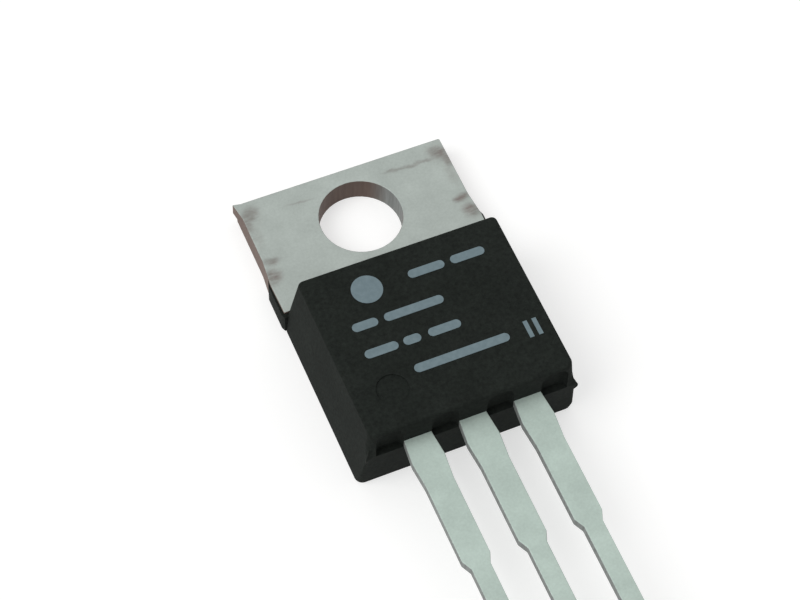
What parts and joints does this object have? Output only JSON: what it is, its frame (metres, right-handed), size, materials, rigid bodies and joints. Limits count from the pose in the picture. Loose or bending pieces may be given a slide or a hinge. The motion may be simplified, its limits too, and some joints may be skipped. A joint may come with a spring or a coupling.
{
  "type": "voltage regulator",
  "caption": "Moulded three-lead voltage regulator with a heat-sink tab, mounting hole and flat in-line leads.",
  "frame": {"origin": "centre of the mounting hole on the tab's back face", "axes": "+Z out of the marked front face along the hole, +Y to the tab's free end, leads towards -Y; it lies on its back"},
  "size_m": [0.0104, 0.0288, 0.0043],
  "materials": {
    "epoxy": "moulded, matte",
    "tinned_copper": "matte tin plate on copper",
    "tinned_lead": "matte tin plate on copper",
    "silicon": "polished",
    "solder": "satin",
    "bond_wire": "drawn",
    "ink": "printed ink, matte"
  },
  "bodies": {
    "root": {"moulded_body": "epoxy", "heat_sink_header": "tinned_copper", "ground_lead": "tinned_lead", "input_lead": "tinned_lead", "silicon_die": "silicon", "die_solder": "solder", "ground_wire": "bond_wire", "input_wire_1": "bond_wire", "input_wire_2": "bond_wire", "output_wire_1": "bond_wire", "output_wire_2": "bond_wire", "ink_marks": "ink"}
  },
  "joints": []
}
